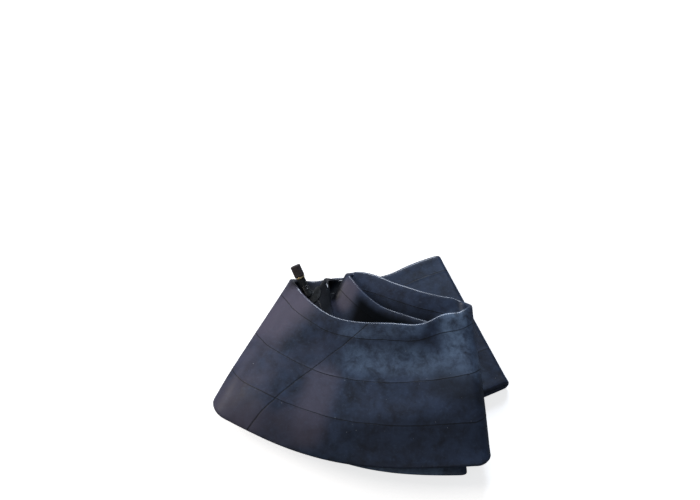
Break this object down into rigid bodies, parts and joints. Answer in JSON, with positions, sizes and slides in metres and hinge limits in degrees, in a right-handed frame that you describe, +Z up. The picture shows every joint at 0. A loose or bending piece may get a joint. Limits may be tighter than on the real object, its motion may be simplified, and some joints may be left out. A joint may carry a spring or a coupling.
{
  "type": "inner tube",
  "caption": "Butyl inner tube pressed flat and folded into a fan-shaped stack, with a rubber-covered valve and screw cap at its inner edge.",
  "frame": {"origin": "centre of the base: the middle of the footprint's box, on the plane that the folded tube lies on", "axes": "+Z up off the surface it lies on, +Y from the wide outer edges towards the inner edges and the valve, +X to the right of the fan seen from above with the wide edge nearest"},
  "size_m": [0.274, 0.2264, 0.0448],
  "materials": {
    "butyl_rubber": "satin black butyl with a faint blue-grey bloom, moulded vent lines",
    "valve_rubber": "smooth moulded black rubber",
    "stem_brass": "turned brass, slightly dulled",
    "core_brass": "turned brass",
    "spring_steel": "bright drawn wire",
    "core_seal": "pale sealing ring",
    "cap_seal": "matt soft rubber washer",
    "cap_plastic": "moulded dark plastic with a light sheen"
  },
  "bodies": {
    "tube": {"tube_body": "butyl_rubber", "valve_patch": "valve_rubber", "valve_stem_rubber": "valve_rubber", "valve_stem_insert": "stem_brass", "core_plug": "core_brass", "core_plug_seal": "core_seal", "core_barrel": "core_brass", "core_spring": "spring_steel"},
    "pin": {"core_pin": "core_brass", "core_cup_gasket": "valve_rubber", "core_cup": "core_brass"},
    "cap_washer": {"cap_seal": "cap_seal"},
    "cap": {"valve_cap": "cap_plastic"}
  },
  "joints": [
    {"name": "pin_press", "type": "slide", "parent": "tube", "child": "pin", "axis": [0.4106, -0.7722, -0.4848], "range_m": [0, 0.0012], "stiffness_N_per_m": 1500, "springref_m": -0.001, "deforming": ["core_spring"]},
    {"name": "cap_lift", "type": "slide", "parent": "tube", "child": "cap_washer", "axis": [-0.4106, 0.7722, 0.4848], "range_m": [0, 0.00556]},
    {"name": "cap_turn", "type": "hinge", "parent": "cap_washer", "child": "cap", "pos_m": [-0.05011, 0.05995, 0.02447], "axis": [-0.4106, 0.7722, 0.4848], "range_deg": [0, 2520]}
  ],
  "couplings": [
    {"joint": "cap_turn", "follows": "cap_lift", "rad_per_m": 7913.3}
  ]
}
